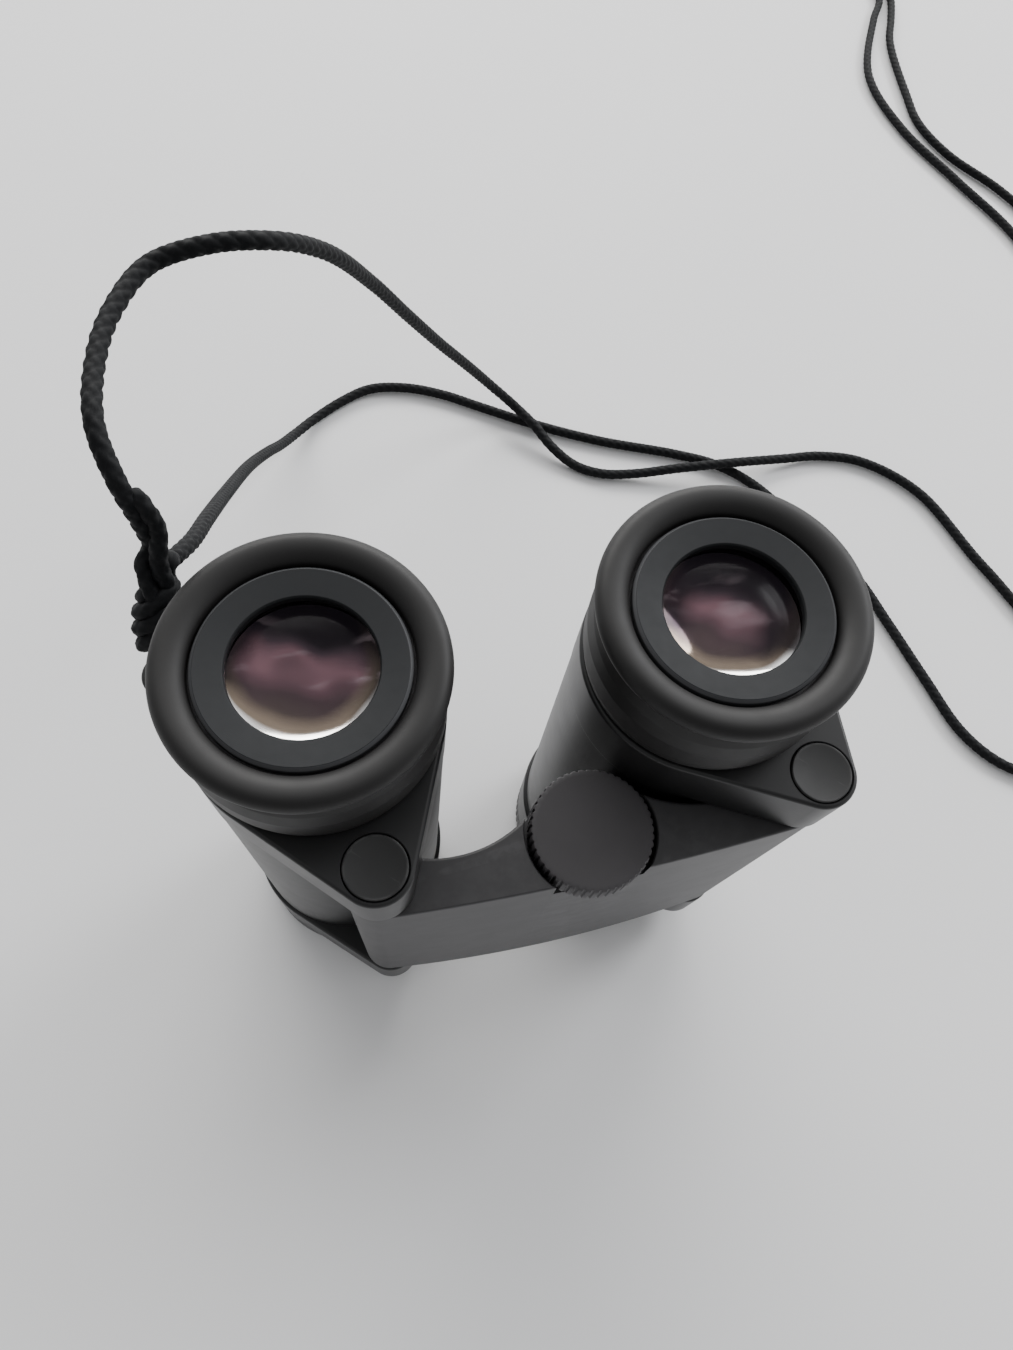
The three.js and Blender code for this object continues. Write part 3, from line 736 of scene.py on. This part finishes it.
def braid_height(around, along):
    """From 0 to 1: two families of yarns wind opposite ways, and they take turns to lie on top."""
    one = STRANDS * around / TAU + along / BRAID_PITCH
    two = STRANDS * around / TAU - along / BRAID_PITCH
    first_on_top = (np.floor(one) + np.floor(two)) % 2 == 0
    crest_one = np.sin(np.pi * (one % 1))
    crest_two = np.sin(np.pi * (two % 1))
    return np.where(first_on_top, crest_one**0.7 * crest_two**0.25, crest_two**0.7 * crest_one**0.25)


def braided(lines, radius, step, sides):
    """Vertices and faces of braided cords along the lines, with round closed ends."""
    vertices, faces = [], []
    around = np.arange(sides) * TAU / sides
    for line in lines:
        line, length = evenly(line, step)
        tangents = np.gradient(line, axis=0)
        tangents /= np.linalg.norm(tangents, axis=1)[:, None]
        normal = np.cross(tangents[0], (0.3, 0.2, 0.93))
        first = len(vertices)
        for i, (point, tangent) in enumerate(zip(line, tangents)):
            normal = normal - tangent * (normal @ tangent)
            normal /= np.linalg.norm(normal)
            side = np.cross(tangent, normal)
            at = length * i / (len(line) - 1)
            from_end = min(at, length - at)
            close = math.sqrt(max(0.02, 1 - max(0.0, 1 - from_end / radius) ** 2))
            r = radius * close * (0.8 + 0.22 * braid_height(around, at))
            ring = point + r[:, None] * (np.cos(around)[:, None] * normal + np.sin(around)[:, None] * side)
            vertices += ring.tolist()
        for i in range(len(line) - 1):
            row = first + i * sides
            for k in range(sides):
                j = (k + 1) % sides
                faces.append([row + k, row + j, row + sides + j, row + sides + k])
        last = first + (len(line) - 1) * sides
        faces.append([first + k for k in reversed(range(sides))])
        faces.append([last + k for k in range(sides)])
    return vertices, faces


def from_bridge(made):
    made.location = (*BRIDGE_MIDDLE, 0)
    return made


def knot_lines(ends, entries, turns=3.2, slant=1.3):
    """A tight knot: three parts of the strands run along it, and slanting turns wrap its lower half."""
    bottom, top = (np.array(p) for p in ends)
    axis = top - bottom
    length = np.linalg.norm(axis)
    axis /= length
    across = np.cross(axis, (0.2, 0.1, 1.0))
    across /= np.linalg.norm(across)
    out = np.cross(axis, across)

    def at(turn, reach, height):
        a = TAU * turn
        return bottom + axis * height + reach * (math.cos(a) * across + math.sin(a) * out)

    wrap = [at(0.15, 0.3, 0.9)]
    steps = 14 * math.ceil(turns)
    for i in range(steps + 1):
        share = i / steps
        turn = 0.4 + turns * share
        reach = 1.75 * (1 - 0.3 * (2 * share - 1) ** 2)
        height = length * (0.2 + 0.5 * share) + slant * math.cos(TAU * turn)
        wrap.append(at(turn, reach, height))
    wrap.append(at(0.6 + turns, 0.4, length * 0.7))
    lines = [wrap]
    for entry, turn in zip(entries, (0.55, 0.05, 0.8)):
        run = []
        for share in (0, 0.25, 0.5, 0.75, 1):
            run.append(at(turn + 0.5 * share, 1.35 - 1.1 * share**3, length * (0.92 - 0.84 * share)))
        lines.append([*(np.array(p) for p in entry), *run])
    return [spline(line, 12) for line in lines]


def loop_line():
    """Down through the eyelet's hole and up again beside the tab, to the knot."""
    low, high = EYELET_Z
    at = EYELET_REACH
    local = [
        (at + 1.2, 1.0, high + 3.6), (at + 0.1, 0.1, high + 1.4), (at, 0, high), (at, 0, low),
        (at, 0.3, low - 1.1), (at, 1.3, low - 2.3), (at + 0.1, 2.5, low - 2.6), (at + 0.3, 3.8, low - 2.0),
        (at + 0.5, 4.5, low - 0.3), (at + 0.9, 4.5, high + 0.4), (at + 1.5, 3.5, high + 2.8),
    ]
    turn = BARREL_TURN["left"] + EYELET_ANGLE
    outwards = Vector((math.cos(turn), math.sin(turn)))
    sideways = Vector((math.sin(turn), -math.cos(turn)))
    middle = (AXIS["left"] - BRIDGE_MIDDLE) / MM
    return spline([(*(middle + r * outwards + shift * sideways), z) for r, shift, z in local], 12)


def cord_piece(node, lines, radius=1.06, step=0.2, sides=20):
    made = from_bridge(shaded(object_of(node, *braided(lines, radius, step, sides)), 180))
    return stands_for(made, node)


def add_cord():
    loop = cord_piece("cord_eyelet_loop", [loop_line()])
    entries = [FIRST_STRAND[1::-1], SECOND_STRAND[1::-1], KNOT_TAIL]
    knot = cord_piece("cord_knot", knot_lines(KNOT_ENDS, entries))
    entries = [FIRST_STRAND[-1:], SECOND_STRAND[-1:], END_KNOT_ENDS[:1]]
    end_knot = cord_piece("cord_end_knot", knot_lines(END_KNOT_ENDS, entries))
    for which, route in (("first", FIRST_STRAND), ("second", SECOND_STRAND)):
        line = spline(route)[::-1]
        strand = cord_piece(f"neck_cord_{which}_strand", [line], CORD_D / 2, CORD_STEP, CORD_SIDES)
        path, length = evenly(line, 2.0)
        path = path * MM + np.array([*BRIDGE_MIDDLE, 0])


add_cord()


# ---- Bridge and focusing knob ----
GAP = 0.3  # between pieces that fit into each other
PIN_HOLE_R = 2.3
PIN_HOLE_DEPTH = 9
KNUCKLE_R = 4.1
FRONT_SWELL = 1.5
SWELL_LOSS = 0.42  # the share of the swell that is gone at the bridge's top
FRONT_STEPS = 40
HOLLOW_R = 16.0
HOLLOW_AT = (16.5, 17.4)
NOSE_R = 7.8
WELL_R = 8.2
WELL_FLOOR_Z = 65.2
CAVITY_TOP_Z = 61
COVER_X = 6.3
COVER_Y = (-3.0, 3.8)


def bridge_outline():
    """Swelling front face, a round knuckle on each hinge axis, two hollows and a ridge between them."""
    half = HALF_SPACING
    x, y = HOLLOW_AT
    to_hinge = math.degrees(math.atan2(-y, half - x))
    apart = math.hypot(x, y - FOCUS_Y)
    turn = math.acos((HOLLOW_R**2 + apart**2 - NOSE_R**2) / (2 * HOLLOW_R * apart))
    to_nose = math.degrees(math.atan2(FOCUS_Y - y, -x) + turn)
    corner_x = x + HOLLOW_R * math.cos(math.radians(to_nose))
    corner_y = y + HOLLOW_R * math.sin(math.radians(to_nose))
    nose = math.degrees(math.atan2(corner_y - FOCUS_Y, corner_x))
    front = [Vector((-half + 2 * half * t / FRONT_STEPS, 0)) for t in range(FRONT_STEPS)]
    for p in front:
        p.y = -KNUCKLE_R - FRONT_SWELL * (1 - (p.x / half) ** 2)
    return (
        front
        + arc(half, 0, KNUCKLE_R, -90, to_hinge + 180, 24)
        + arc(x, y, HOLLOW_R, to_hinge, to_nose, 24)
        + arc(0, FOCUS_Y, NOSE_R, nose, 180 - nose, 16)
        + arc(-x, y, HOLLOW_R, -180 - to_nose, -180 - to_hinge, 24)
        + arc(-half, 0, KNUCKLE_R, -to_hinge, 270, 24)
    )


def add_bridge():
    low, high = BRIDGE_Z
    body = prism("bridge", bridge_outline(), low, high, edge=0.45)
    for vertex in body.data.vertices:
        # The front face swells less towards the top.
        beyond = min(0.0, vertex.co.y + KNUCKLE_R * MM)
        vertex.co.y -= beyond * SWELL_LOSS * (vertex.co.z / MM - low) / (high - low)
    cutters = [
        drill(WELL_R, WELL_FLOOR_Z, high, y=FOCUS_Y, flare=0.15, segments=128),
        drill(3.2, 60, WELL_FLOOR_Z + 1, y=FOCUS_Y),
        box_cutter(-3.6, 3.6, -2.4, 3.6, low - 1, CAVITY_TOP_Z),
        box_cutter(-COVER_X - GAP, COVER_X + GAP, COVER_Y[0] - GAP, COVER_Y[1] + GAP, low - 1, low + 1.9),
    ]
    for x in (-HALF_SPACING, HALF_SPACING):
        cutters.append(drill(PIN_HOLE_R, high - PIN_HOLE_DEPTH, high + 1, x=x))
        cutters.append(drill(PIN_HOLE_R, low - 1, low + PIN_HOLE_DEPTH, x=x))
    stands_for(from_bridge(combined(body, "DIFFERENCE", cutters)), "bridge_body")


def add_knob():
    low, high = KNOB_Z
    edge = 0.35
    teeth = 48
    profile = [
        (0, low), (KNOB_R - 0.5, low), (KNOB_R - 0.05, low + 0.35, 1), (KNOB_R, low + 0.6, 1),
        (KNOB_R, high - edge, 1), (KNOB_R - 0.08, high - 0.18, 0.7), (KNOB_R - 0.18, high - 0.05, 0.35),
        (KNOB_R - edge, high), (KNOB_R - 0.8, high), (KNOB_R - 2.2, high), (0, high),
    ]
    knob = lathe("knob", profile, segments=8 * teeth, teeth=teeth, depth=0.26)
    knob = combined(knob, "DIFFERENCE", [drill(1.8, low - 1, low + 2.3)])
    knob.location = (*FOCUS_AXIS, 0)
    stands_for(knob, "focus_knob", "knob")


def add_bottom_cover():
    """The plate that closes the bridge's cavity, and the two slotted screws that hold it."""
    low, high = heights("bridge_bottom_cover")
    corners = [(-COVER_X, COVER_Y[0]), (COVER_X, COVER_Y[0]), (COVER_X, COVER_Y[1]), (-COVER_X, COVER_Y[1])]
    outline = rounded([(*corner, 0.8) for corner in corners])
    cover = prism("cover", outline[::-1], low, high, edge=0.2)
    holes = [drill(1.8, low - 1, high + 1, y=FOCUS_Y)]
    for i in (1, 2):
        middle = centre_of(f"cover_screw_{i}")
        x, y = (middle - BRIDGE_MIDDLE) / MM
        radius = radius_of(f"cover_screw_{i}")
        holes.append(drill(radius + 0.25, low - 1, high + 1, x=x, y=y))
        z0, z1 = heights(f"cover_screw_{i}")
        screw = lathe("screw", [(0, z0), (radius - 0.15, z0), (radius, z0 + 0.15), (radius, z1), (0, z1)], 48)
        slot = box_cutter(-radius, radius, -0.18, 0.18, z0 - 1, z0 + 0.5)
        slot.data.transform(Matrix.Rotation(0.7 * i, 4, "Z"))
        screw = combined(screw, "DIFFERENCE", [slot])
        screw.location = (*middle, 0)
        stands_for(screw, f"cover_screw_{i}")
    stands_for(from_bridge(combined(cover, "DIFFERENCE", holes)), "bridge_bottom_cover")


add_bridge()
add_knob()
add_bottom_cover()

# ---- Barrels ----
TUBE_R = 15.0
BORE_R = 13.0
UPPER_LUG_R = 15.1
LOWER_LUG_R = 15.6
LUG_END_R = 4.36
UPPER_LUG_Z = (69.3, 78.7)
LOWER_LUG_Z = (5.0, 15.7)
POCKET_R = 3.74
POCKET_DEPTH = 4.5
OCULAR_R = 12.0


def lug_outline(radius):
    """A large arc about the optical axis and a small one about the hinge, joined by tangents."""
    opening = math.degrees(math.acos((radius - LUG_END_R) / BARREL_OFFSET))
    along, aside = math.cos(math.radians(opening)), math.sin(math.radians(opening))
    big = arc(0, 0, radius, opening, 360 - opening, 88)
    big.append(Vector((radius * along, -radius * aside)))
    small = arc(BARREL_OFFSET, 0, LUG_END_R, -opening, opening, 28)
    small.append(Vector((BARREL_OFFSET + LUG_END_R * along, LUG_END_R * aside)))
    return big + small


def add_housing(side):
    low, low_top = LOWER_LUG_Z
    high, high_top = UPPER_LUG_Z
    at = BARREL_OFFSET
    tube = lathe("tube", [(0, low_top - 1), (TUBE_R, low_top - 1), (TUBE_R, high + 1), (0, high + 1)], 128)
    lugs = [
        prism("lug", lug_outline(UPPER_LUG_R), high, high_top, edge=0.5),
        prism("lug", lug_outline(LOWER_LUG_R), low, low_top, edge=0.6),
    ]
    body = combined(tube, "UNION", lugs)
    cutters = [
        drill(BORE_R, low - 1, high, segments=128),
        drill(OCULAR_R + GAP, high - 1, high_top + 1, segments=128),
        drill(PIN_HOLE_R, low - 1, high_top + 1, x=at),
        drill(POCKET_R, high_top - POCKET_DEPTH, high_top, x=at, flare=0.12),
        flipped(drill(POCKET_R, low, low + POCKET_DEPTH, x=at, flare=0.12), low + POCKET_DEPTH / 2),
    ]
    stands_for(on_barrel(combined(body, "DIFFERENCE", cutters), side), f"barrel_housing_{side}")


def add_eyecup(side):
    """A sleeve with a waist under its rolled rim, which slopes down inside to the bezel."""
    bottom, top = heights(f"eyecup_{side}")
    inner = OCULAR_R + GAP
    roll_r = 1.45
    roll_at, roll_z = EYECUP_R - roll_r, top - roll_r
    lip = BEZEL_R + GAP
    slope = []
    for k in range(12):
        a = math.pi / 2 * k / 12
        slope.append(Vector((roll_at - (roll_at - lip) * math.cos(a), top - 1.9 * (1 - math.sin(a)))))
    profile = [Vector((inner, bottom)), Vector((inner, top - 2.6)), Vector((lip + 0.1, top - 2.4))]
    profile += slope + arc(roll_at, roll_z, roll_r, 90, -66, 14)
    profile += rounded(
        [
            (14.6, roll_z - 1.35, 0), (14.0, 88.9, 0.8), (14.75, 86.9, 1.5), (15.12, 84.6, 1.5),
            (15.05, 81.0, 0.8), (14.75, bottom + 0.4, 0.3), (14.1, bottom, 0),
        ],
        closed=False,
    )
    made = lathe("eyecup", [(p.x, p.y) for p in profile], 128)
    stands_for(on_barrel(made, side), f"eyecup_{side}")


def add_turned(side, node, corners, look=None, segments=96):
    """A turned piece on the barrel's axis, from (radius, height, corner radius) corners."""
    made = lathe(node, [(p.x, p.y) for p in rounded(corners, closed=corners[0][0] > 0)], segments)
    return stands_for(on_barrel(made, side), node, look)


def dome(radius, z, sag, facing, steps=14):
    sphere = (radius**2 + sag**2) / (2 * sag)
    points = []
    for i in range(steps + 1):
        r = radius * i / steps
        points.append((r, z + facing * (math.sqrt(sphere**2 - r**2) - (sphere - sag)), 0))
    return points


def add_lenses(side):
    """The eye lens is a thin clear dome, with its coated rear element under it."""
    low, _ = heights(f"eye_lens_{side}")
    radius = 8.45
    rim = low + 3.2
    shell = [(r, z) for r, z, _ in dome(radius, rim - 0.7, 1.75, 1) + dome(radius, rim, 1.9, 1)[::-1]]
    lens = on_barrel(lathe("eye_lens", shell), side)
    stands_for(lens, f"eye_lens_{side}", "eye_glass")

    bowl = [(r, z) for r, z, _ in dome(REAR_R, rim - 0.8, 1.85, -1)]
    rear = lathe("rear", [(0, low), (REAR_R, low), *bowl[::-1]])
    rear.name = rear.data.name = f"rear_element_{side}"
    rear.location = (*AXIS[side], 0)
    # Its colour holds painted reflections and painted shade.
    rear.data.materials.append(LOOKS[f"coating_{side}"])
    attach(rear, NODES[f"eye_lens_{side}"]["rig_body"])


def add_eyepiece(side):
    add_eyecup(side)
    floor, top = heights(f"bezel_ring_{side}")
    under = floor + 1.65
    add_turned(
        side, f"bezel_ring_{side}",
        [
            (7.9, under, 0), (9.0, under, 0), (9.0, floor, 0), (9.6, floor, 0), (9.6, under, 0),
            (BEZEL_R, under, 0.1), (BEZEL_R, top - 0.35, 0.1), (BEZEL_R - 0.35, top, 0.12),
            (8.05, top - 0.47, 0.12), (7.9, top - 0.72, 0.1),
        ],
        "bezel", segments=160,
    )
    add_lenses(side)


def add_objective(side, ring_node):
    low, high = heights(ring_node)
    corners = [
        (12.4, low), (RIM_R - 0.5, low), (RIM_R - 0.12, low + 0.15), (RIM_R, low + 0.6),
        (RIM_R, 4.2), (RIM_R - 0.12, 4.6), (RIM_R - 0.45, 4.7), (12.6, 4.7), (12.6, high),
        (11.2, high), (11.0, high - 0.2), (11.0, 3.6), (11.2, 3.2), (12.2, 0.3),
    ]
    if side == "left":
        made = lathe(ring_node, corners, 160)
    else:
        # Fine ribs round the ring that is turned for the dioptre, with their depth at its first corners.
        ribs = (0, 0, 0.4, 1, 1, 0.4)
        corners = [(*p, share) for p, share in zip(corners, ribs)] + corners[len(ribs):]
        made = lathe(ring_node, corners, 8 * 80, teeth=80, depth=0.3)
    stands_for(on_barrel(made, side), ring_node)

    low, high = heights(f"objective_cell_{side}")
    add_turned(
        side, f"objective_cell_{side}",
        [
            (9.6, low, 0.15), (12.6, low, 0.1), (12.6, high, 0.2), (10.7, high, 0.2), (10.7, low + 1, 0),
            (9.6, low + 1, 0.1),
        ],
    )
    low, high = heights(f"objective_retainer_{side}")
    retainer = [(9.2, low, 0.15), (10.4, low, 0), (10.4, high, 0.15), (9.2, high, 0.15)]
    add_turned(side, f"objective_retainer_{side}", retainer)
    _, high = heights(f"objective_lens_{side}")
    radius = radius_of(f"objective_lens_{side}")
    front = dome(radius, high - 2.8, 1.2, -1)
    add_turned(side, f"objective_lens_{side}", front + [(radius, high, 0), (0, high, 0)])


def add_caps(side):
    """The discs over the hinge pins: a shallow dish inside a fine raised edge."""
    for end, outside in (("upper", 1), ("lower", 0)):
        z = heights(f"hinge_cap_{end}_{side}")
        face = z[outside]
        inwards = -1 if outside else 1
        back = z[1 - outside]
        profile = [
            (0, face + 0.1 * inwards), (CAP_R - 0.5, face + 0.08 * inwards), (CAP_R - 0.3, face),
            (CAP_R - 0.12, face), (CAP_R, face + 0.12 * inwards), (CAP_R, back), (0, back),
        ]
        cap = lathe("cap", profile, 96)
        cap.location = (*HINGE[side], 0)
        stands_for(cap, f"hinge_cap_{end}_{side}", "cap")


def add_eyelet():
    """A flat tab with a hole for the cord, rounded at its outer end, on a foot against the upper lug."""
    half_width = 2.9
    foot = UPPER_LUG_R + 0.3
    low, high = EYELET_Z
    tab = [Vector((foot, -half_width))]
    tab += arc(EYELET_REACH, 0, half_width, -90, 90, 24)
    tab += [Vector((EYELET_REACH, half_width)), Vector((foot, half_width))]
    base = [(foot, -half_width), (foot + 1, -half_width), (foot + 1, half_width), (foot, half_width)]
    base = prism("base", [Vector(p) for p in base], low - 1.6, high + 1.6, edge=0.2)
    made = combined(prism("tab", tab, low, high, edge=0.45), "UNION", [base])
    hole = CORD_D / 2 + 0.4
    made = combined(made, "DIFFERENCE", [drill(hole, low - 1, high, x=EYELET_REACH, flare=0.3)])
    made.data.transform(Matrix.Rotation(EYELET_ANGLE, 4, "Z"))
    stands_for(on_barrel(made, "left"), "strap_eyelet")


for name, ring_name in (("left", "objective_rim_left"), ("right", "dioptre_ring_right")):
    add_housing(name)
    add_eyepiece(name)
    add_objective(name, ring_name)
    add_caps(name)
add_eyelet()


def dress_nodes():
    """CAD nodes that keep their own shape get their slot's material and softened edges."""
    for name, node in NODES.items():
        if node.hide_render:
            continue
        look = SLOT_OF[name]
        if name.startswith(("ocular_spacer", "prism_cage", "eyepiece_tube")):
            look = "baffle"
        soften = node.modifiers.new("soften", "BEVEL")
        soften.width = 0.15 * MM
        soften.segments = 2
        soften.limit_method = "ANGLE"
        soften.angle_limit = math.radians(40)
        node.data.materials.clear()
        node.data.materials.append(LOOKS[look])


dress_nodes()


# ---- Floor and light ----
def add_floor():
    look = Look("floor")
    look.colour(look.ramp(look.noise(6, 4), (0.3, (0.79, 0.79, 0.795)), (0.7, (0.82, 0.82, 0.825))))
    look.set(Roughness=0.6)
    size = 3.0
    corners = [(-size, -size, 0), (size, -size, 0), (size, size, 0), (-size, size, 0)]
    floor = object_of("floor", corners, [(0, 1, 2, 3)], scale=1)
    floor.data.materials.append(look.material)


def add_window(place, target, width, height, power, colour):
    data = bpy.data.lights.new("window", "AREA")
    data.shape = "ELLIPSE"
    data.size = width
    data.size_y = height
    data.energy = power
    data.color = colour
    light = bpy.data.objects.new("window", data)
    light.location = place
    light.rotation_euler = (Vector(target) - Vector(place)).to_track_quat("-Z", "Y").to_euler()
    bpy.context.scene.collection.objects.link(light)


def add_light():
    """A room brighter towards the back, with a broad low window there and a small one to the right."""
    world = bpy.data.worlds.new("room")
    world.use_nodes = True
    tree = world.node_tree
    direction = tree.nodes.new("ShaderNodeTexCoord").outputs["Generated"]
    backwards = tree.nodes.new("ShaderNodeVectorMath")
    backwards.operation = "DOT_PRODUCT"
    backwards.inputs[1].default_value = (0.5, 0.866, 0.0)
    tree.links.new(direction, backwards.inputs[0])
    share = tree.nodes.new("ShaderNodeMapRange")
    share.inputs["From Min"].default_value = -1.0
    tree.links.new(backwards.outputs["Value"], share.inputs["Value"])
    ramp = tree.nodes.new("ShaderNodeValToRGB")
    greys = ((0.0, 0.34), (0.40, 0.52), (0.52, 0.78), (0.72, 1.12), (0.88, 1.7))
    stops = [(at, (0.985 * grey, 0.99 * grey, grey)) for at, grey in greys]
    set_stops(ramp, [*stops, (1.0, (1.78, 1.79, 1.8))])
    tree.links.new(share.outputs["Result"], ramp.inputs["Fac"])
    background = tree.nodes["Background"]
    tree.links.new(ramp.outputs["Color"], background.inputs["Color"])
    background.inputs["Strength"].default_value = 1.0
    bpy.context.scene.world = world
    add_window((0.12, 1.07, 0.60), (0, 0, 0.05), 1.6, 0.36, 16.0, (1.0, 0.99, 0.97))
    add_window((1.0, 0.42, 0.66), (0, 0, 0.05), 0.5, 0.3, 7.5, (0.97, 0.98, 1.0))


add_floor()
add_light()
